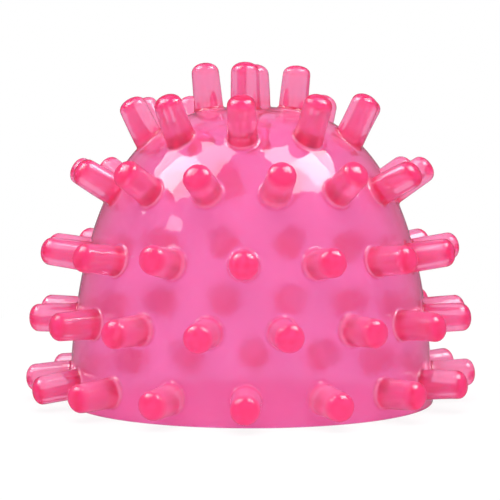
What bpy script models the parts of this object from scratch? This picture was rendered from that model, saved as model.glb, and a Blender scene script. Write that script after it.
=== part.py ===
"""A soft silicone cupping cup: an open dome whose outside carries rows of blunt massage nubs.

The real cup is one hollow moulding. Here its wall is divided into bands that meet edge to edge, one
band for each row of nubs, with every nub fused to its band. The two bands of the crown sink straight
down inside the shoulder when the cup is pressed onto the skin to drive the air out.

Metres, +Z up. The origin is the centre of the mouth, on the surface that the cup stands on.
"""
import math

import bmesh
import bpy
from mathutils import Matrix, Vector

# Driving dimensions
RIM_RADIUS = 0.040            # outside of the mouth
DOME_HEIGHT = 0.0645          # mouth to the top of the wall, without the nubs
DOME_FULLNESS = 2.72          # 2 is an ellipse, more has squarer shoulders
WALL_TAPER = 0.087            # how much narrower the straight part gets over the height
RIM_WALL = 0.0014             # wall thickness at the mouth
CROWN_WALL = 0.0022           # and at the top of the dome, growing evenly with height
NUB_LENGTH = 0.010            # skin of the wall to the tip
NUB_FOOT_RADIUS = 0.0031
NUB_TIP_RADIUS = 0.0028       # where the rounded tip begins
NUB_TIP_HEIGHT = 0.0022       # height of the rounded tip
SEAM = 0.0003                 # gap between neighbouring bands
CROWN_CLEARANCE = 0.0003      # from the crown's widest nub to the edge of the crown
CAP_RADIUS = 0.016            # where the crown's cap ends and its ring begins
CAP_NUB_RADIUS = 0.0093       # circle on which the cap's nubs stand

# Facets
TURN_STEPS = 48
NUB_SIDES = 10
BAND_STEPS = 3                # facets along each band, from edge to edge

# Rows of nubs from the mouth up: how many, their lean above level and the angle of the first one,
# in degrees. An angle of 0 faces -Y and grows towards +X.
ROWS = {
    "sealing_rim": (16, 5.0, -1.4),
    "lower_wall_band": (16, 9.0, -13.0),
    "upper_wall_band": (15, 13.0, -2.3),
    "shoulder_band": (14, 39.0, -16.5),
    "crown_ring": (10, 68.0, -4.4),
    "crown_cap": (4, 85.0, -7.2),
}
# Where each row stands, as a share of the dome's height. The cap's nubs stand on a circle instead.
ROW_HEIGHTS = {
    "sealing_rim": 0.085,
    "lower_wall_band": 0.292,
    "upper_wall_band": 0.500,
    "shoulder_band": 0.719,
    "crown_ring": 0.892,
}

# Silicone, a little deeper in colour from band to band upwards
SILICONE_LOW = Vector((0.84, 0.13, 0.33))
SILICONE_HIGH = Vector((0.80, 0.08, 0.26))
SILICONE_ROUGHNESS = 0.12


# The wall as a turned profile

def angle_at_height(height):
    """Profile angle, 0 at the mouth and a quarter turn at the pole, for a height of the skin."""
    return math.asin((height / DOME_HEIGHT) ** (DOME_FULLNESS / 2))


def skin_point(angle):
    """Radius and height of the outside of the wall."""
    power = 2 / DOME_FULLNESS
    share = math.sin(angle) ** power
    radius = RIM_RADIUS * (1 - WALL_TAPER * share) * max(math.cos(angle), 0.0) ** power
    return Vector((radius, DOME_HEIGHT * share))


def skin_normal(angle):
    """Outward direction of the wall in the profile's plane."""
    if angle >= math.pi / 2 - 0.01:
        return Vector((0.0, 1.0))
    step = 0.001
    along = skin_point(angle + step) - skin_point(max(angle - step, 0.0))
    return Vector((along.y, -along.x)).normalized()


def wall_thickness(angle):
    return RIM_WALL + (CROWN_WALL - RIM_WALL) * skin_point(angle).y / DOME_HEIGHT


def wall_point(angle, depth):
    """Point of the wall at a depth, 0 on the skin and 1 on the inside, kept above the mouth's plane."""
    point = skin_point(angle) - depth * wall_thickness(angle) * skin_normal(angle)
    return Vector((max(point.x, 0.0), max(point.y, 0.0)))


def angle_at_radius(radius, depth):
    """Profile angle at which the wall, at a depth of 0 to 1, has this radius."""
    low, high = 0.0, math.pi / 2
    for _ in range(50):
        middle = (low + high) / 2
        if wall_point(middle, depth).x > radius:
            low = middle
        else:
            high = middle
    return (low + high) / 2


def square_cut(height):
    """Angles of the skin and of the inside where a cut square to the wall crosses them."""
    angle = angle_at_height(height)
    return angle, angle


def upright_cut(radius):
    """Angles of the skin and of the inside where a cut straight down crosses them."""
    return angle_at_radius(radius, 0), angle_at_radius(radius, 1)


def spaced(start, end):
    return [start + (end - start) * step / BAND_STEPS for step in range(BAND_STEPS + 1)]


def band_outline(lower_cut, upper_cut):
    """The two long sides of a band: up the skin, and back down the inside."""
    skin = [wall_point(angle, 0) for angle in spaced(lower_cut[0], upper_cut[0])]
    inside = [wall_point(angle, 1) for angle in spaced(upper_cut[1], lower_cut[1])]
    return skin, inside


# Meshes

def turned_mesh(name, profile, steps, closed):
    """Turn a profile of radius and height once about Z."""
    bm = bmesh.new()
    verts = [bm.verts.new((radius, 0, height)) for radius, height in profile]
    edges = [bm.edges.new(pair) for pair in zip(verts, verts[1:])]
    if closed:
        edges.append(bm.edges.new((verts[-1], verts[0])))
    bmesh.ops.spin(bm, geom=verts + edges, cent=(0, 0, 0), axis=(0, 0, 1), angle=math.tau, steps=steps)
    bmesh.ops.remove_doubles(bm, verts=bm.verts, dist=1e-6)
    bmesh.ops.recalc_face_normals(bm, faces=bm.faces)
    mesh = bpy.data.meshes.new(name)
    bm.to_mesh(mesh)
    bm.free()
    return mesh


def nub_profile(root):
    """A blunt bullet along Z, from its root below the skin to its tip."""
    shoulder = NUB_LENGTH - NUB_TIP_HEIGHT
    rounding = [math.radians(angle) for angle in (0, 40, 65, 90)]
    tip = [(NUB_TIP_RADIUS * math.cos(a), shoulder + NUB_TIP_HEIGHT * math.sin(a)) for a in rounding]
    tip[-1] = (0.0, NUB_LENGTH)
    return [(0.0, -root), (NUB_FOOT_RADIUS, -root)] + tip


def nub_placements(count, profile_angle, lean, first_angle):
    """One matrix for each nub of a row, with Z along the nub."""
    radius, height = skin_point(profile_angle)
    tilt = Matrix.Rotation(math.pi / 2 - math.radians(lean), 4, "Y")
    foot = Matrix.Translation((radius, 0, height)) @ tilt
    facing_front = math.radians(first_angle) - math.pi / 2
    return [Matrix.Rotation(facing_front + math.tau * index / count, 4, "Z") @ foot for index in range(count)]


def add_object(name, mesh, hidden=False):
    obj = bpy.data.objects.new(name, mesh)
    bpy.context.scene.collection.objects.link(obj)
    if hidden:
        obj.display_type = "WIRE"
        obj.hide_render = True
    return obj


def nub_mesh(profile_angle, lean):
    """A nub with its root laid along the middle of the wall, however far it leans."""
    normal = skin_normal(profile_angle)
    slant = math.radians(lean) - math.atan2(normal.y, normal.x)
    root = wall_thickness(profile_angle) / 2
    mesh = turned_mesh("nub", nub_profile(root), NUB_SIDES, closed=False)
    for vertex in mesh.vertices:
        if vertex.co.z < 0:
            vertex.co.z = vertex.co.z / math.cos(slant) - vertex.co.x * math.tan(slant)
    return mesh


def nub_row(name, row, profile_angle):
    """Every nub of a row in one mesh, to be fused with its band."""
    count, lean, first_angle = row
    nub = nub_mesh(profile_angle, lean)
    bm = bmesh.new()
    for placement in nub_placements(count, profile_angle, lean, first_angle):
        start = len(bm.verts)
        bm.from_mesh(nub)
        bm.verts.ensure_lookup_table()
        bmesh.ops.transform(bm, matrix=placement, verts=bm.verts[start:])
    mesh = bpy.data.meshes.new(name)
    bm.to_mesh(mesh)
    bm.free()
    bpy.data.meshes.remove(nub)
    return add_object(name, mesh, hidden=True)


def add_boolean(obj, operation, other):
    boolean = obj.modifiers.new(operation.title(), "BOOLEAN")
    boolean.operation = operation
    boolean.solver = "EXACT"
    boolean.object = other


def silicone(name, share):
    """The band's silicone; share is 0 at the mouth and 1 at the crown."""
    material = bpy.data.materials.new(name + "_silicone")
    material.use_nodes = True
    shader = material.node_tree.nodes["Principled BSDF"]
    shader.inputs["Base Color"].default_value = (*SILICONE_LOW.lerp(SILICONE_HIGH, share), 1)
    shader.inputs["Roughness"].default_value = SILICONE_ROUGHNESS
    shader.inputs["Metallic"].default_value = 0.0
    return material


def add_band(name, mesh, row, profile_angle, share):
    """A band of the wall with its nubs fused on; share is its place from mouth to crown, for colour."""
    mesh.materials.append(silicone(name, share))
    mesh.shade_smooth()
    mesh.set_sharp_from_angle(angle=math.radians(35))
    band = add_object(name, mesh)
    add_boolean(band, "UNION", nub_row(name + "_nubs", row, profile_angle))
    return band


# The cup

def row_angle(name):
    """Profile angle at which a row of nubs stands."""
    if name == "crown_cap":
        return angle_at_radius(CAP_NUB_RADIUS, 0)
    return angle_at_height(ROW_HEIGHTS[name] * DOME_HEIGHT)


def crown_radius():
    """Radius of the crown's edge: its leaning nubs stay inside it, so the crown can sink."""
    lean = math.radians(ROWS["crown_ring"][1])
    shoulder = (NUB_LENGTH - NUB_TIP_HEIGHT) * math.cos(lean)
    tip = math.hypot(NUB_TIP_RADIUS * math.sin(lean), NUB_TIP_HEIGHT * math.cos(lean))
    return skin_point(row_angle("crown_ring")).x + shoulder + tip + CROWN_CLEARANCE


def build_walls():
    """The bands from the mouth to the shoulder, which stay still."""
    names = ["sealing_rim", "lower_wall_band", "upper_wall_band", "shoulder_band"]
    passage_radius = crown_radius() + SEAM
    shares = [(ROW_HEIGHTS[low] + ROW_HEIGHTS[high]) / 2 for low, high in zip(names, names[1:])]
    seams = [share * DOME_HEIGHT for share in shares]
    lower_cuts = [square_cut(0.0)] + [square_cut(height + SEAM / 2) for height in seams]
    upper_cuts = [square_cut(height - SEAM / 2) for height in seams]
    upper_cuts.append(upright_cut(passage_radius - CROWN_WALL))
    for index, name in enumerate(names):
        skin, inside = band_outline(lower_cuts[index], upper_cuts[index])
        mesh = turned_mesh(name, skin + inside, TURN_STEPS, closed=True)
        band = add_band(name, mesh, ROWS[name], row_angle(name), index / 5)
    clear_passage(band, passage_radius)


def clear_passage(shoulder, radius):
    """Cut the shoulder, which was made too long, back to the edge that the crown passes."""
    top = 2 * DOME_HEIGHT
    outline = [(0.0, 0.0), (radius, 0.0), (radius, top), (0.0, top)]
    mesh = turned_mesh("crown_passage", outline, TURN_STEPS, closed=False)
    add_boolean(shoulder, "DIFFERENCE", add_object("crown_passage", mesh, hidden=True))


def build_crown():
    """The ring and the cap of the crown, turned about the line along which they sink."""
    ring_top = upright_cut(CAP_RADIUS + SEAM / 2)
    skin, inside = band_outline(upright_cut(crown_radius()), ring_top)
    mesh = turned_mesh("crown_ring", skin + inside, TURN_STEPS, closed=True)
    add_band("crown_ring", mesh, ROWS["crown_ring"], row_angle("crown_ring"), 4 / 5)

    pole = (math.pi / 2, math.pi / 2)
    skin, inside = band_outline(upright_cut(CAP_RADIUS - SEAM / 2), pole)
    mesh = turned_mesh("crown_cap", skin[::-1] + inside[::-1], TURN_STEPS, closed=False)
    add_band("crown_cap", mesh, ROWS["crown_cap"], row_angle("crown_cap"), 1.0)


def main():
    for obj in list(bpy.data.objects):
        bpy.data.objects.remove(obj, do_unlink=True)
    build_walls()
    build_crown()


main()
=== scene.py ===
# %% [markdown]
# # A silicone cupping cup
#
# This cup is one hollow moulding of soft, clear, hot pink silicone: an open dome that stands on its
# mouth, with six rows of blunt nubs that knead the skin. The packed frame holds it as six stiff bands,
# because a physics engine moves rigid pieces. Here the bands are replaced with one smooth skin, so that
# light runs through it without seams.

import math

import bpy
import numpy as np
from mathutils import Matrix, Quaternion, Vector
from mathutils.geometry import delaunay_2d_cdt


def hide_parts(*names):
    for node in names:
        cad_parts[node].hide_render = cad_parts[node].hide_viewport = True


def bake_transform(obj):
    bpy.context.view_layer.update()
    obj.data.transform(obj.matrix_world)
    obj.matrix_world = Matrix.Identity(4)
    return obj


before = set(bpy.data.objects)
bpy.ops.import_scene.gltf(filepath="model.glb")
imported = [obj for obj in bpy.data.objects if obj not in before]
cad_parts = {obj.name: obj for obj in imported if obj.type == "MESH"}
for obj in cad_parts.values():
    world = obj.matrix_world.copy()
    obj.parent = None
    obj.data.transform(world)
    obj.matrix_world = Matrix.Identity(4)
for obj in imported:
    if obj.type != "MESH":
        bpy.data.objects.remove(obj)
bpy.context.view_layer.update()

# %% [markdown]
# ## The wall as a turned profile
#
# A cup like this is moulded over a turned core, so its wall is a profile carried once round. The profile
# is a superellipse: the same formula as an ellipse with a higher power, which gives a nearly straight
# side and a full, round shoulder. A slight taper lets it leave the mould. The wall is thin at the mouth,
# where it must bend to the skin, and thicker at the crown, which springs back.

# %% Sizes of the cup
RIM_RADIUS = 0.040
DOME_HEIGHT = 0.0645
FULLNESS = 2.72  # power of the superellipse
TAPER = 0.087
RIM_WALL = 0.0014
CROWN_WALL = 0.0022
RIM_ROUNDING = 0.00045
print("mouth across, mm:", 2000 * RIM_RADIUS, "and dome height, mm:", 1000 * DOME_HEIGHT)

# %% The meridian, a fine table of the profile from the mouth to the pole
QUARTER_TURN = math.pi / 2
TABLE_STEPS = 6000
NEARLY_TOP = 0.98  # above this share of the height, the wall runs level and height tells no place


def eased(count, power=1.4):
    """Values from 0 to 1, close together at both ends, where the profile turns fastest."""
    even = np.linspace(0, 1, count)
    return even**power / (even**power + (1 - even) ** power)


class Meridian:
    """The profile at a depth of 0, the skin, to 1, the inside of the wall."""

    def __init__(self, depth):
        self.angle = QUARTER_TURN * eased(TABLE_STEPS)
        share = np.sin(self.angle) ** (2 / FULLNESS)
        radius = RIM_RADIUS * (1 - TAPER * share) * np.cos(self.angle) ** (2 / FULLNESS)
        height = DOME_HEIGHT * share
        along = np.stack([np.gradient(radius), np.gradient(height)])
        along /= np.linalg.norm(along, axis=0)
        wall = RIM_WALL + (CROWN_WALL - RIM_WALL) * share
        self.normal = np.stack([along[1], -along[0]])
        self.radius = np.maximum(radius - depth * wall * self.normal[0], 1e-9)
        self.height = height - depth * wall * self.normal[1]
        steps = np.hypot(np.diff(self.radius), np.diff(self.height))
        self.arc = np.concatenate([[0], np.cumsum(steps)])
        middle = (self.radius[1:] + self.radius[:-1]) / 2
        self.plane = np.exp(-np.concatenate([[0], np.cumsum(steps / middle)]))

    def at(self, name, arc):
        """A value of the table, such as radius or height, at a distance along the wall."""
        return np.interp(arc, self.arc, getattr(self, name))

    def arc_at_height(self, height):
        rising = self.height < DOME_HEIGHT * NEARLY_TOP
        return float(np.interp(height, self.height[rising], self.arc[rising]))


SKIN = Meridian(0)
INSIDE = Meridian(1)
print("along the skin from mouth to pole, mm:", round(SKIN.arc[-1] * 1000, 1))

# %% [markdown]
# ## Where the nubs stand and how they lean
#
# Each row has its own number of nubs, height and lean. The upper rows point more steeply than the wall
# does, so that they slip out of the mould. Soft nubs are never quite alike, so each one gets a small
# lean and bend of its own from a fixed seed. The front ones sag, and in the lower rows those on the +X
# side stand up a little more than those across from them.

# %% Rows of nubs
NUB_LENGTH = 0.010
FOOT_RADIUS = 0.0032
TIP_RADIUS = 0.0030
TIP_HEIGHT = 0.0022
FILLET = 0.0006
CAP_NUB_RADIUS = 0.0093  # circle on which the innermost four stand
# how many, share of the dome's height, lean above level, how much more on the +X side, first angle
ROWS = [
    (16, 0.085, 2.0, 6.0, -1.4),
    (16, 0.292, 5.0, 1.5, -13.0),
    (15, 0.500, 12.0, 0.5, -2.3),
    (14, 0.719, 34.0, 2.0, -16.5),
    (10, 0.892, 64.0, 0.0, -4.4),
    (4, None, 85.0, 0.0, -7.2),
]
FRONT_DROOP = 6.0  # degrees
UNEVEN_LEAN = 1.2  # degrees
UNEVEN_BEND = 0.0003
random = np.random.default_rng(7)
print("nubs in each row:", [row[0] for row in ROWS])


# %% One foot and one axis for every nub
def row_arc(height_share):
    """How far along the skin a row stands. The innermost row goes by its radius."""
    if height_share is None:
        crown = SKIN.radius < RIM_RADIUS / 2
        return float(np.interp(-CAP_NUB_RADIUS, -SKIN.radius[crown], SKIN.arc[crown]))
    return SKIN.arc_at_height(height_share * DOME_HEIGHT)


def direction(turn, lean):
    """Unit vector that faces turn round the cup, lean above level."""
    return np.array([math.cos(lean) * math.sin(turn), -math.cos(lean) * math.cos(turn), math.sin(lean)])


nubs = []
for count, height_share, lean, lift, first in ROWS:
    arc = row_arc(height_share)
    radius, height = SKIN.at("radius", arc), SKIN.at("height", arc)
    for index in range(count):
        turn = math.radians(first) + math.tau * index / count
        facing = max(math.cos(turn), 0) * math.cos(math.radians(lean))
        own_lean = lean + lift * math.sin(turn) - FRONT_DROOP * facing + random.normal(0, UNEVEN_LEAN)
        own_turn = turn + math.radians(random.normal(0, UNEVEN_LEAN))
        foot = np.array([radius * math.sin(turn), -radius * math.cos(turn), height])
        axis = direction(own_turn, math.radians(own_lean))
        nubs.append((foot, axis, random.normal(0, UNEVEN_BEND, 3)))
print("nubs:", len(nubs))

# %% [markdown]
# ## The skin with a round foot for each nub
#
# The nubs are part of the moulding, with a small fillet where each one leaves the wall. A Boolean union
# would leave a sharp crease and long thin triangles that shine badly through clear silicone. So the wall
# is triangulated with a ring of vertices ready at each foot. The dome is first laid flat by a conformal
# map, one that keeps angles, because a Delaunay triangulation in that plane is then well shaped on the
# dome too.

# %% The skin as a formula
NEWTON_STEPS = 12
SMALL_STEP = 1e-6


def outside_skin(points):
    """Above 0 outside the skin and below 0 inside it."""
    share = np.clip(points[:, 2] / DOME_HEIGHT, 0, None)
    radius = np.hypot(points[:, 0], points[:, 1]) / (RIM_RADIUS * (1 - TAPER * share))
    return radius**FULLNESS + share**FULLNESS - 1


def slide_to_skin(points, axis):
    """Distance along the axis from each point to the skin, by Newton's method."""
    slide = np.zeros(len(points))
    for _ in range(NEWTON_STEPS):
        here = outside_skin(points + slide[:, None] * axis)
        ahead = outside_skin(points + (slide + SMALL_STEP)[:, None] * axis)
        slide -= here * SMALL_STEP / (ahead - here)
    return slide


def flattened(points):
    """Points of the skin in the conformal plane."""
    share = np.clip(points[:, 2] / DOME_HEIGHT, 0, 1)
    radius = np.hypot(points[:, 0], points[:, 1]) / (RIM_RADIUS * (1 - TAPER * share))
    angle = np.arctan2(share ** (FULLNESS / 2), radius ** (FULLNESS / 2))
    plane = np.interp(angle, SKIN.angle, SKIN.plane)
    turn = np.arctan2(points[:, 1], points[:, 0])
    return np.stack([plane * np.cos(turn), plane * np.sin(turn)], axis=1)


feet = np.array([foot for foot, _, _ in nubs])
print("feet off the skin by at most:", float(np.abs(outside_skin(feet)).max()))

# %% Two rings about each foot
FOOT_SIDES = 28
FOOT_RING = FOOT_RADIUS + FILLET
GUARD_RING = FOOT_RING + 0.0005
STEEP = 0.9  # an axis that rises more than this is crossed with X and not with Z


def ring_about(foot, axis, radius, half_turned):
    """Spokes of a circle about the nub's axis, and how far each end slides to meet the skin."""
    across = np.cross(axis, [0, 0, 1]) if abs(axis[2]) < STEEP else np.cross(axis, [1, 0, 0])
    across /= np.linalg.norm(across)
    other = np.cross(axis, across)
    turns = (np.arange(FOOT_SIDES) + 0.5 * half_turned) * math.tau / FOOT_SIDES
    spokes = radius * (np.cos(turns)[:, None] * across + np.sin(turns)[:, None] * other)
    return spokes, slide_to_skin(foot + spokes, axis)


rings = []
for foot, axis, _ in nubs:
    inner, inner_slide = ring_about(foot, axis, FOOT_RING, False)
    guard, guard_slide = ring_about(foot, axis, GUARD_RING, True)
    rings.append((inner, inner_slide, foot + guard + guard_slide[:, None] * axis))
print("rings of", FOOT_SIDES, "points, mm across:", round(2000 * FOOT_RING, 2), round(2000 * GUARD_RING, 2))

# %% Points spread over the wall, left out where a foot stands
SPACING = 0.00135
RIM_SIDES = 192
CLEAR_OF_GUARD = 0.6  # share of the spacing


def lattice(meridian):
    """Points spread evenly over the dome, and their places in the conformal plane."""
    start = meridian.arc_at_height(RIM_ROUNDING)
    rings = round((meridian.arc[-1] - start) / SPACING)
    solid, flat = [], []
    for ring in range(rings + 1):
        arc = start + (meridian.arc[-1] - start) * ring / rings
        radius, height = float(meridian.at("radius", arc)), float(meridian.at("height", arc))
        count = RIM_SIDES if ring == 0 else max(1, round(math.tau * radius / SPACING))
        turns = (np.arange(count) + 0.5 * (ring % 2)) * math.tau / count
        plane = 0.0 if ring == rings else float(meridian.at("plane", arc))
        circle = np.stack([np.cos(turns), np.sin(turns)], axis=1)
        solid.append(np.column_stack([radius * circle * (ring < rings), np.full(count, height)]))
        flat.append(plane * circle)
    return np.concatenate(solid), np.concatenate(flat)


solid, flat = lattice(SKIN)
keep = np.ones(len(solid), bool)
for foot, axis, _ in nubs:
    offset = solid - foot
    beside = offset - (offset @ axis)[:, None] * axis
    near = np.linalg.norm(offset, axis=1) < 2 * GUARD_RING
    keep &= ~(near & (np.linalg.norm(beside, axis=1) < GUARD_RING + CLEAR_OF_GUARD * SPACING))
keep[:RIM_SIDES] = True
solid, flat = solid[keep], flat[keep]
print("points kept:", len(solid), "of", len(keep))

# %% Triangles of the skin, with a face for each foot
FLAT_SCALE = 100  # keeps the smallest distances well above the search's rounding
SAME_POINT = 1e-7


def triangulate(flat, loops):
    """Delaunay triangles of the flat points that keep the edges of the loops."""
    edges = [(loop[i - 1], loop[i]) for loop in loops for i in range(len(loop))]
    made = delaunay_2d_cdt([Vector(FLAT_SCALE * point) for point in flat], edges, [], 0, SAME_POINT)
    origin = [ids[0] for ids in made[3]]
    assert len(origin) == len(flat), "the flat points merged or crossed"
    return [tuple(origin[corner] for corner in face) for face in made[2]]


loops, blocks = [], [solid]
size = len(solid)
for (foot, axis, _), (spokes, slide, guard) in zip(nubs, rings):
    loops.append(list(range(size, size + FOOT_SIDES)))
    blocks += [foot + spokes + slide[:, None] * axis, guard]
    size += 2 * FOOT_SIDES
solid = np.concatenate(blocks)
flat = np.concatenate([flat, flattened(solid[len(flat):])])
owner = np.full(len(solid), -1)
for number, loop in enumerate(loops):
    owner[loop] = number
triangles = triangulate(flat, loops)
in_foot = [owner[a] >= 0 and owner[a] == owner[b] == owner[c] for a, b, c in triangles]
skin_faces = [face for face, inside_foot in zip(triangles, in_foot) if not inside_foot]
print("skin:", len(solid), "points,", len(skin_faces), "triangles,", len(loops), "feet")

# %% [markdown]
# ## The inside and the rounded rim
#
# The edge of the mouth is rounded, so that it seals on the skin and doesn't cut it. A Solidify modifier
# could give the wall its thickness, but this wall grows thicker towards the crown, and its inside is
# plain, without the nubs' feet. So the inside is spread and triangulated by itself, from its own
# profile, and turned to face inwards. Rings round the rim join the two into one closed mesh.

# %% The inside of the wall
inner_solid, inner_flat = lattice(INSIDE)
inner_start = len(solid)
rim_start = inner_start + len(inner_solid)
inner_faces = [tuple(corner + inner_start for corner in face[::-1]) for face in triangulate(inner_flat, [])]
print("inside:", len(inner_solid), "points,", len(inner_faces), "triangles")

# %% The rounded rim between them
ROUNDING_STEPS = 4


def rim_corner(radius, inward):
    """Radius and height down a quarter round, from the side of the wall to the floor."""
    bends = [QUARTER_TURN * step / ROUNDING_STEPS for step in range(1, ROUNDING_STEPS + 1)]
    return [
        (radius + inward * RIM_ROUNDING * (1 - math.cos(bend)), RIM_ROUNDING * (1 - math.sin(bend)))
        for bend in bends
    ]


outer_radius, inner_radius = math.hypot(*solid[0][:2]), math.hypot(*inner_solid[0][:2])
rim_profile = rim_corner(outer_radius, -1) + rim_corner(inner_radius, 1)[::-1]
turns = np.arange(RIM_SIDES) * math.tau / RIM_SIDES
circle = np.column_stack([np.cos(turns), np.sin(turns)])
rim_points = [
    np.column_stack([radius * circle, np.full(RIM_SIDES, height)]) for radius, height in rim_profile
]
rim_loops = [range(RIM_SIDES)]
for ring in range(len(rim_profile)):
    ring_start = rim_start + RIM_SIDES * ring
    rim_loops.append(range(ring_start, ring_start + RIM_SIDES))
rim_loops.append(range(inner_start, inner_start + RIM_SIDES))
rim_faces = [
    (upper[side], lower[side], lower[(side + 1) % RIM_SIDES], upper[(side + 1) % RIM_SIDES])
    for upper, lower in zip(rim_loops, rim_loops[1:])
    for side in range(RIM_SIDES)
]
print("rim:", len(rim_profile), "rings,", len(rim_faces), "faces")

# %% One closed mesh
points = np.concatenate([solid, inner_solid, *rim_points])
faces = skin_faces + inner_faces + rim_faces + [tuple(loop) for loop in loops]
mesh = bpy.data.meshes.new("silicone_cup")
mesh.from_pydata(points.tolist(), [], faces)
mesh.update()
cup = bpy.data.objects.new("silicone_cup", mesh)
bpy.context.scene.collection.objects.link(cup)
print("wall:", len(points), "points,", len(faces), "faces")


# %% [markdown]
# ## What each foot knows
#
# All 75 nubs are grown by one tree of nodes, so what differs from nub to nub has to be stored on the
# mesh. Each point of a foot carries its nub's foot, axis, spoke and bend as named attributes, and the
# foot's face is marked as the one that grows. The inside of the wall is marked too, because it gets
# another finish.


# %% Store it as attributes
def store(name, kind, domain, values):
    attribute = mesh.attributes.new(name, kind, domain)
    field = "vector" if kind == "FLOAT_VECTOR" else "value"
    attribute.data.foreach_set(field, np.asarray(values).ravel())


foot_of, axis_of, spoke_of, bend_of = (np.zeros((len(points), 3)) for _ in range(4))
slide_of = np.zeros(len(points))
for loop, (foot, axis, bend), (spokes, slide, _) in zip(loops, nubs, rings):
    foot_of[loop], axis_of[loop], bend_of[loop] = foot, axis, bend
    spoke_of[loop], slide_of[loop] = spokes, slide
grows = np.zeros(len(faces), bool)
grows[-len(loops):] = True
inside_wall = np.zeros(len(points))
inside_wall[inner_start:rim_start] = 1
store("nub_foot", "FLOAT_VECTOR", "POINT", foot_of)
store("nub_axis", "FLOAT_VECTOR", "POINT", axis_of)
store("nub_spoke", "FLOAT_VECTOR", "POINT", spoke_of)
store("nub_bend", "FLOAT_VECTOR", "POINT", bend_of)
store("nub_slide", "FLOAT", "POINT", slide_of)
store("grows", "BOOLEAN", "FACE", grows)
store("core_side", "FLOAT", "POINT", inside_wall)
print("faces that will grow:", int(grows.sum()))

# %% [markdown]
# ## Maths as Python expressions
#
# Geometry and shader trees both calculate with Math nodes. This small class wraps a socket, so that an
# expression such as 1 - mask builds the nodes that it describes.


# %% A socket that can be calculated with
def connect(tree, socket, value):
    if isinstance(value, Value):
        tree.links.new(value.socket, socket)
    elif isinstance(value, bpy.types.NodeSocket):
        tree.links.new(value, socket)
    else:
        socket.default_value = value


class Value:
    def __init__(self, tree, socket):
        self.tree, self.socket = tree, socket

    def math(self, operation, *others):
        made = self.tree.nodes.new("ShaderNodeMath")
        made.operation = operation
        for socket, value in zip(made.inputs, (self, *others)):
            connect(self.tree, socket, value)
        return Value(self.tree, made.outputs[0])

    def __add__(self, other):
        return self.math("ADD", other)

    def __sub__(self, other):
        return self.math("SUBTRACT", other)

    def __mul__(self, other):
        return self.math("MULTIPLY", other)

    def __truediv__(self, other):
        return self.math("DIVIDE", other)

    def __pow__(self, other):
        return self.math("POWER", other)

    def __rsub__(self, other):
        return (self * -1) + other

    __radd__, __rmul__ = __add__, __mul__

    def clamped(self):
        return self.math("MAXIMUM", 0.0).math("MINIMUM", 1.0)

    def sine(self):
        return self.math("SINE")

    def cosine(self):
        return self.math("COSINE")


print("a socket can now be:", ", ".join(name for name in vars(Value) if name[0] != "_"))


# %% Helpers that add any other node
def add_node(tree, kind, settings=None, **inputs):
    """A new node: settings first, then its sockets by name with _ for a space."""
    made = tree.nodes.new(kind)
    for name, setting in (settings or {}).items():
        setattr(made, name, setting)
    for name, value in inputs.items():
        connect(tree, made.inputs[name.replace("_", " ")], value)
    return made


def vector_math(tree, operation, a, b=None, scale=None):
    made = add_node(tree, "ShaderNodeVectorMath", {"operation": operation})
    connect(tree, made.inputs[0], a)
    if b is not None:
        connect(tree, made.inputs[1], b)
    if scale is not None:
        connect(tree, made.inputs["Scale"], scale)
    return made


def mixed(tree, factor, first, second, output):
    """Two shaders mixed, on to the surface of the output."""
    mix = tree.nodes.new("ShaderNodeMixShader")
    connect(tree, mix.inputs[0], factor)
    tree.links.new(first.outputs[0], mix.inputs[1])
    tree.links.new(second.outputs[0], mix.inputs[2])
    tree.links.new(mix.outputs[0], tree.nodes[output].inputs["Surface"])


print("helpers:", ", ".join(helper.__name__ for helper in (add_node, vector_math, mixed)))

# %% [markdown]
# ## Growing the nubs
#
# Geometry Nodes grows all the nubs at once. A Repeat Zone extrudes every foot face again and again, and
# after each turn puts the new ring where the nub's profile says: through the fillet, up the slightly
# tapered side and over the blunt tip. The nub and the wall are one surface from the start, so there is
# nothing to join afterwards. The rings begin with the shape of the wall and end square to the nub.

# %% The profile of a nub, ring by ring
FILLET_RINGS, SIDE_RINGS, TIP_RINGS = 4, 6, 7
TIP_BLUNTNESS = 0.94  # 1 is a round tip, less is a squarer one
POLE_GAP = 0.25  # the last ring stops this share of a ring before the pole


def nub_profile(step, length, foot, tip, tip_height, fillet):
    """Radius and height of a ring, and how far up the side it is."""
    fillet_turn = (step / FILLET_RINGS).clamped() * QUARTER_TURN
    side = ((step - FILLET_RINGS) / SIDE_RINGS).clamped()
    tip_share = ((step - (FILLET_RINGS + SIDE_RINGS)) / (TIP_RINGS + POLE_GAP)).clamped()
    tip_turn = tip_share * QUARTER_TURN
    foot_part = foot + fillet * (1 - fillet_turn.sine()) - (foot - tip) * side
    radius = foot_part * tip_turn.cosine() ** TIP_BLUNTNESS
    height = fillet * (1 - fillet_turn.cosine()) + (length - tip_height - fillet) * side
    height = height + tip_height * tip_turn.sine() ** TIP_BLUNTNESS
    return radius, height, side


print("rings of a nub:", FILLET_RINGS + SIDE_RINGS + TIP_RINGS)


# %% The place of each ring
def named(tree, name, kind):
    """A stored attribute, read inside a geometry tree."""
    made = add_node(tree, "GeometryNodeInputNamedAttribute", {"data_type": kind}, Name=name)
    return made.outputs["Attribute"]


def ring_place(tree, height, spread, slide, bend):
    """Foot, plus the way up the axis, plus the spoke, plus the nub's own bend."""
    up = vector_math(tree, "SCALE", named(tree, "nub_axis", "FLOAT_VECTOR"), scale=height + slide)
    place = vector_math(tree, "ADD", named(tree, "nub_foot", "FLOAT_VECTOR"), up.outputs[0])
    for name, share in (("nub_spoke", spread), ("nub_bend", bend)):
        part = vector_math(tree, "SCALE", named(tree, name, "FLOAT_VECTOR"), scale=share)
        place = vector_math(tree, "ADD", place.outputs[0], part.outputs[0])
    return place.outputs[0]


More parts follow.
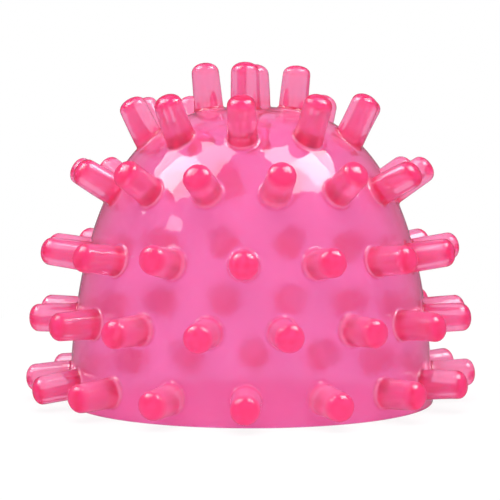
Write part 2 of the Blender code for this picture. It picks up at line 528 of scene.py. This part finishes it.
def nub_sizes(tree):
    """The tree's inputs: the geometry, the sizes of a nub with their names, and the material."""
    interface = tree.interface
    interface.new_socket("Geometry", in_out="INPUT", socket_type="NodeSocketGeometry")
    for name, value in (
        ("Length", NUB_LENGTH),
        ("Foot radius", FOOT_RADIUS),
        ("Tip radius", TIP_RADIUS),
        ("Tip height", TIP_HEIGHT),
        ("Fillet", FILLET),
    ):
        interface.new_socket(name, in_out="INPUT", socket_type="NodeSocketFloat").default_value = value
    interface.new_socket("Material", in_out="INPUT", socket_type="NodeSocketMaterial")
    interface.new_socket("Geometry", in_out="OUTPUT", socket_type="NodeSocketGeometry")
    start = tree.nodes.new("NodeGroupInput")
    return start, [Value(tree, start.outputs[i]) for i in range(1, 6)]


print("nub length, mm:", 1000 * NUB_LENGTH, "and foot, mm across:", 2000 * FOOT_RADIUS)


# %% The tree that grows nubs
def nub_tree():
    tree = bpy.data.node_groups.new("grow_nubs", "GeometryNodeTree")
    start, sizes = nub_sizes(tree)
    length, foot, _, _, fillet = sizes
    end = tree.nodes.new("NodeGroupOutput")
    zone_in, zone_out = (tree.nodes.new("GeometryNodeRepeat" + side) for side in ("Input", "Output"))
    zone_in.pair_with_output(zone_out)
    zone_in.inputs["Iterations"].default_value = FILLET_RINGS + SIDE_RINGS + TIP_RINGS
    tree.links.new(start.outputs["Geometry"], zone_in.inputs["Geometry"])

    radius, height, side = nub_profile(Value(tree, zone_in.outputs["Iteration"]) + 1, *sizes)
    spread = radius / (foot + fillet)
    slide = Value(tree, named(tree, "nub_slide", "FLOAT")) * spread * (1 - side) ** 2
    place = ring_place(tree, height, spread, slide, bend=(height / length) ** 2)

    extrude = add_node(
        tree,
        "GeometryNodeExtrudeMesh",
        {"mode": "FACES"},
        Mesh=zone_in.outputs["Geometry"],
        Selection=named(tree, "grows", "BOOLEAN"),
        Offset_Scale=0.0,
        Individual=True,
    )
    top = extrude.outputs["Top"]
    mark = add_node(
        tree,
        "GeometryNodeStoreNamedAttribute",
        {"data_type": "BOOLEAN", "domain": "FACE"},
        Geometry=extrude.outputs["Mesh"],
        Name="grows",
        Value=top,
    )
    put = add_node(tree, "GeometryNodeSetPosition", Geometry=mark.outputs[0], Selection=top, Position=place)
    rise = add_node(
        tree,
        "GeometryNodeStoreNamedAttribute",
        {"data_type": "FLOAT", "domain": "POINT"},
        Geometry=put.outputs[0],
        Selection=top,
        Name="up_the_nub",
        Value=height / length,
    )
    tree.links.new(rise.outputs[0], zone_out.inputs["Geometry"])

    real = add_node(tree, "GeometryNodeRealizeInstances", Geometry=zone_out.outputs["Geometry"])
    smooth = add_node(tree, "GeometryNodeSetShadeSmooth", Geometry=real.outputs[0])
    finish = add_node(
        tree, "GeometryNodeSetMaterial", Geometry=smooth.outputs[0], Material=start.outputs["Material"]
    )
    tree.links.new(finish.outputs[0], end.inputs[0])
    return tree


GROW_NUBS = nub_tree()
print("grow_nubs:", len(GROW_NUBS.nodes), "nodes")

# %% [markdown]
# ## Clear silicone
#
# The silicone is dyed through. Light that crosses it loses green and some blue, so a thin wall looks
# pink and a long way through a nub looks nearly red. That is a volume effect, and Volume Absorption
# gives it, where a pink glass alone would colour thick and thin alike. The surface is two shaders mixed.
# One is clear, and lets light through. The other is subsurface scattering, for the light that the soft
# material turns back. Its share is larger on the nubs. Its colour is painted a deeper red at their roots
# and tips, for light that has crossed more silicone there. It is left out where a ray meets the surface
# from inside, which Backfacing tells, because there it would only stop light that crosses the silicone.
# The core of the mould was matt beside the wall and smooth at the crown, so the inside of the cup is too.
# Faint waves in the skin, a Noise texture through Bump, soften the edges of the reflections. The tints were
# chosen.

# %% Where on the cup: the inside, the sides of the nubs, and their ends
POLISHED_FROM = 0.050  # height above which the inside is smooth
POLISHED_OVER = 0.008  # height over which it becomes smooth
# Painted light: the nubs' roots and tips are coloured a deeper red, for light that has crossed more silicone
# there.
ROOT_UP_TO, ROOT_EDGE = 0.32, 6.0  # share of the nub's length, and how sharply the root ends
PAINTED_ROOT_DEPTH = 0.7  # how deep the root's colour is beside the tip's
TIP_FROM, TIP_EDGE = 0.72, 5.0
NUB_EDGE = 10.0  # how sharply the nub begins


def named_value(tree, name):
    """A stored attribute, read inside a material."""
    made = tree.nodes.new("ShaderNodeAttribute")
    made.attribute_name = name
    return Value(tree, made.outputs["Fac"])


def matt_inside(tree, core, place):
    """1 on the inside of the wall, fading to 0 towards the crown."""
    split = tree.nodes.new("ShaderNodeSeparateXYZ")
    tree.links.new(place, split.inputs[0])
    return core * (1 - ((Value(tree, split.outputs["Z"]) - POLISHED_FROM) / POLISHED_OVER).clamped())


def nub_masks(tree):
    """1 on the nubs, and 1 at their roots and tips, where a deeper red is painted."""
    rise = named_value(tree, "up_the_nub")
    nub = (rise * NUB_EDGE).clamped()
    painted_root = ((ROOT_UP_TO - rise) * ROOT_EDGE).clamped() * nub * PAINTED_ROOT_DEPTH
    return nub, ((rise - TIP_FROM) * TIP_EDGE).clamped() + painted_root


print("the inside is matt below, mm:", 1000 * POLISHED_FROM)

# %% Faint waves and blended colours
WAVES_PER_METRE = 160
WAVE_HEIGHT = 0.00014


def wavy_normal(tree, place):
    waves = add_node(tree, "ShaderNodeTexNoise", Vector=place, Scale=WAVES_PER_METRE)
    bump = add_node(tree, "ShaderNodeBump", Distance=WAVE_HEIGHT, Height=waves.outputs["Fac"])
    return bump.outputs["Normal"]


def blend_colours(tree, factor, first, second):
    made = tree.nodes.new("ShaderNodeMix")
    made.data_type = "RGBA"
    connect(tree, made.inputs[0], factor)
    connect(tree, made.inputs[6], first)
    connect(tree, made.inputs[7], second)
    return made.outputs[2]


print("waves in the skin, mm high at most:", round(1000 * WAVE_HEIGHT, 2))

# %% The silicone
WALL_TINT = (0.94, 0.46, 0.76, 1)
CORE_TINT = (0.95, 0.48, 0.78, 1)
NUB_TINT = (0.84, 0.52, 0.74, 1)
DYE = (0.98, 0.27, 0.49, 1)
DYE_DENSITY = 115  # per metre
WALL_GLOW = (1.0, 0.19, 0.40, 1)
# deeper red painted at the roots and tips of the nubs, for light that has crossed more silicone there
PAINTED_END_RED = (1.0, 0.06, 0.21, 1)
GLOW_RADIUS = (0.004, 0.0015, 0.002)  # how far red, green and blue spread
GLOW_IN_WALL, GLOW_IN_SIDES, GLOW_IN_PAINTED_ENDS = 0.30, 0.47, 0.51
SURFACE_ROUGHNESS = 0.03
CORE_SIDE_ROUGHNESS = 0.20
SILICONE_IOR = 1.41


def silicone():
    material = bpy.data.materials.new("pink_silicone")
    material.use_nodes = True
    tree = material.node_tree
    clear = tree.nodes["Principled BSDF"]
    glow = tree.nodes.new("ShaderNodeBsdfPrincipled")
    place = tree.nodes.new("ShaderNodeTexCoord").outputs["Object"]
    normal = wavy_normal(tree, place)
    for shader in (clear, glow):
        shader.inputs["Roughness"].default_value = SURFACE_ROUGHNESS
        shader.inputs["IOR"].default_value = SILICONE_IOR
        tree.links.new(normal, shader.inputs["Normal"])
    clear.inputs["Transmission Weight"].default_value = 1.0
    glow.inputs["Subsurface Weight"].default_value = 1.0
    glow.inputs["Subsurface Radius"].default_value = GLOW_RADIUS
    glow.inputs["Subsurface Scale"].default_value = 1.0

    core = named_value(tree, "core_side")
    nub, painted_red_ends = nub_masks(tree)
    matt = matt_inside(tree, core, place)
    roughness = matt * (CORE_SIDE_ROUGHNESS - SURFACE_ROUGHNESS) + SURFACE_ROUGHNESS
    tint = blend_colours(tree, core, WALL_TINT, CORE_TINT)
    connect(tree, clear.inputs["Roughness"], roughness)
    connect(tree, clear.inputs["Base Color"], blend_colours(tree, nub, tint, NUB_TINT))
    # the glow's colour: painted deeper red at the nubs' roots and tips
    connect(tree, glow.inputs["Base Color"], blend_colours(tree, painted_red_ends, WALL_GLOW, PAINTED_END_RED))

    share = nub * (GLOW_IN_SIDES - GLOW_IN_WALL) + GLOW_IN_WALL * (1 - core)
    share = share + painted_red_ends * (GLOW_IN_PAINTED_ENDS - GLOW_IN_SIDES)
    within = Value(tree, tree.nodes.new("ShaderNodeNewGeometry").outputs["Backfacing"])
    mixed(tree, share * (1 - within), clear, glow, "Material Output")
    absorb = add_node(tree, "ShaderNodeVolumeAbsorption", Color=DYE, Density=DYE_DENSITY)
    tree.links.new(absorb.outputs[0], tree.nodes["Material Output"].inputs["Volume"])
    return material


SILICONE = silicone()
print("pink_silicone:", len(SILICONE.node_tree.nodes), "nodes")

# %% Grow the nubs and keep a plain mesh
grower = cup.modifiers.new("Nubs", "NODES")
grower.node_group = GROW_NUBS
for item in GROW_NUBS.interface.items_tree:
    if item.name == "Material":
        grower[item.identifier] = SILICONE
evaluated = cup.evaluated_get(bpy.context.evaluated_depsgraph_get())
grown = bpy.data.meshes.new_from_object(evaluated)
cup.modifiers.remove(grower)
cup.data = grown
grown.name = "silicone_cup"
for name in ("nub_foot", "nub_axis", "nub_spoke", "nub_bend", "nub_slide", "grows"):
    grown.attributes.remove(grown.attributes[name])
bpy.data.meshes.remove(mesh)
grown.calc_loop_triangles()
print("silicone_cup:", len(grown.vertices), "vertices,", len(grown.loop_triangles), "triangles")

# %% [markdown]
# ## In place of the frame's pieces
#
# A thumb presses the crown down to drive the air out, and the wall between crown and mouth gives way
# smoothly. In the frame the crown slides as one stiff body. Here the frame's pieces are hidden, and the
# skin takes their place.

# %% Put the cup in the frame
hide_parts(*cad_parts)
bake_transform(cup)
print("nodes replaced:", len(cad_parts))

# %% [markdown]
# ## The studio
#
# A clear object shows its surroundings, so the studio is half of its look. The background is white to
# every ray that sees it: the camera's own, those through the silicone and, much weaker, those
# reflected by it, as in a tent that is dark behind the camera. The floor is the same white, and keeps
# some of its own light beside the cup, where the shadow falls. Two large softboxes, high on the left
# and the right, each with a brighter bulb behind the cloth, and a small window draw the reflections. A
# top light gives the glow and is seen in no reflection. A pink disc inside the mouth stands for the
# pink light on the floor there.

# %% A white world
WORLD_LIGHT = 0.6
REFLECTED = 0.12  # brightness of white in a reflection
WHITE = (1, 1, 1, 1)


def sight(tree):
    """A mask of the rays that see the background, and how bright white is to each of them."""
    path = tree.nodes.new("ShaderNodeLightPath")
    through = Value(tree, path.outputs["Is Transmission Ray"])
    reflected = (Value(tree, path.outputs["Is Glossy Ray"]) - through).clamped()
    seen = Value(tree, path.outputs["Is Camera Ray"]).math("MAXIMUM", reflected).math("MAXIMUM", through)
    return seen, 1 - reflected * (1 - REFLECTED)


def white_world():
    """White to every ray that sees, and a plain light for the rest."""
    world = bpy.data.worlds.new("studio")
    bpy.context.scene.world = world
    world.use_nodes = True
    tree = world.node_tree
    light = tree.nodes["Background"]
    light.inputs["Color"].default_value = WHITE
    light.inputs["Strength"].default_value = WORLD_LIGHT
    seen, strength = sight(tree)
    white = add_node(tree, "ShaderNodeBackground", Color=WHITE, Strength=strength)
    mixed(tree, seen, light, white, "World Output")


white_world()
print("world light:", WORLD_LIGHT)

# %% The floor, and a pink patch inside the mouth
FLOOR_HALF = 3.0
FLOOR_COLOUR = (0.95, 0.95, 0.95, 1)
FLOOR_ROUGHNESS = 0.9
SHADOW_KEPT = 0.15  # share of the floor's own light, with the cup's shadow in it, beside the cup
SHADOW_REACH = 0.20
PATCH_COLOUR = (0.9, 0.25, 0.5, 1)
PATCH_SIDES = 96
PATCH_LIFT = 0.0001


def flat_piece(name, corners):
    """A stage piece of one flat face, with its own material."""
    plane = bpy.data.meshes.new(name)
    plane.from_pydata(corners, [], [tuple(range(len(corners)))])
    obj = bpy.data.objects.new(name, plane)
    bpy.context.scene.collection.objects.link(obj)
    material = bpy.data.materials.new(name)
    material.use_nodes = True
    plane.materials.append(material)
    return obj, material.node_tree


def floor():
    half = FLOOR_HALF
    obj, tree = flat_piece("floor", [(-half, -half, 0), (half, -half, 0), (half, half, 0), (-half, half, 0)])
    own = tree.nodes["Principled BSDF"]
    own.inputs["Base Color"].default_value = FLOOR_COLOUR
    own.inputs["Roughness"].default_value = FLOOR_ROUGHNESS
    seen, strength = sight(tree)
    white = add_node(tree, "ShaderNodeEmission", Strength=strength)
    place = tree.nodes.new("ShaderNodeTexCoord").outputs["Object"]
    distance = Value(tree, vector_math(tree, "LENGTH", place).outputs["Value"])
    near = (1 - distance / SHADOW_REACH).clamped()
    mixed(tree, seen * (1 - SHADOW_KEPT * near), own, white, "Material Output")


def pink_patch():
    """The floor inside the mouth is lit only through the silicone, so it is pink."""
    turns = [math.tau * side / PATCH_SIDES for side in range(PATCH_SIDES)]
    reach = RIM_RADIUS - 2 * RIM_WALL
    corners = [(reach * math.cos(turn), reach * math.sin(turn), PATCH_LIFT) for turn in turns]
    obj, tree = flat_piece("floor_inside", corners)
    tree.nodes.remove(tree.nodes["Principled BSDF"])
    glow = add_node(tree, "ShaderNodeEmission", Color=PATCH_COLOUR)
    tree.links.new(glow.outputs[0], tree.nodes["Material Output"].inputs["Surface"])


floor()
pink_patch()
print("floor, m across:", 2 * FLOOR_HALF)

# %% The lamps
LAMP_DISTANCE = 0.8
# name, turn from -Y towards +X, rise above level, roll, width and height, power, only in reflections
LAMPS = [
    ("left_softbox", -85, 54, 36, (0.70, 0.54), 7.7, True),
    ("right_softbox", 76, 57, -36, (0.60, 0.46), 8.4, True),
    ("top_light", 0, 70, 0, (0.80, 0.80), 8, False),
    ("left_bulb", -90, 50, 0, (0.26, 0.26), 1.7, True),
    ("right_bulb", 80, 55, 0, (0.26, 0.26), 1.7, True),
    ("window", -62, 31, 0, (0.15, 0.06), 0.16, True),
]


def soft_lamp(name, turn, rise, roll, size, power, glints):
    """A rectangular lamp that faces the middle of the cup."""
    toward = Vector(direction(math.radians(turn), math.radians(rise)))
    lamp = bpy.data.lights.new(name, "AREA")
    lamp.shape = "RECTANGLE"
    lamp.size, lamp.size_y = size
    lamp.energy = power
    obj = bpy.data.objects.new(name, lamp)
    obj.location = Vector((0, 0, DOME_HEIGHT / 2)) + LAMP_DISTANCE * toward
    rolled = toward.to_track_quat("Z", "Y") @ Quaternion((0, 0, 1), math.radians(roll))
    obj.rotation_euler = rolled.to_euler()
    obj.visible_diffuse = not glints
    obj.visible_glossy = glints
    obj.visible_transmission = False
    bpy.context.scene.collection.objects.link(obj)


for lamp_row in LAMPS:
    soft_lamp(*lamp_row)
print("lamps:", len(LAMPS))

# %% [markdown]
# ## Camera and render settings
#
# The camera looks a little down on the cup from close by, through a long lens. The view transform is
# Standard, so that a colour renders as it is written. Light crosses many faces on its way through the
# nubs, so it is followed for more bounces than usual.

# %% Camera
CAMERA_DISTANCE = 0.4008
CAMERA_RISE = math.radians(3.61)
LOOK_AT = Vector((-0.0002, 0, 0.0331))
LENS = 131.4
NEAREST_SEEN = 0.01
camera = bpy.data.cameras.new("camera")
camera.lens = LENS
camera.clip_start = NEAREST_SEEN
eye = bpy.data.objects.new("camera", camera)
eye.location = LOOK_AT + CAMERA_DISTANCE * Vector((0, -math.cos(CAMERA_RISE), math.sin(CAMERA_RISE)))
eye.rotation_euler = (LOOK_AT - eye.location).to_track_quat("-Z", "Y").to_euler()
bpy.context.scene.collection.objects.link(eye)
bpy.context.scene.camera = eye
print("camera above the floor, mm:", round(eye.location.z * 1000, 1))

# %% View transform and bounces
BOUNCES = {"max_bounces": 24, "transmission_bounces": 24, "glossy_bounces": 16}
bpy.context.scene.view_settings.view_transform = "Standard"
for kind, count in BOUNCES.items():
    setattr(bpy.context.scene.cycles, kind, count)
print("bounces:", BOUNCES)
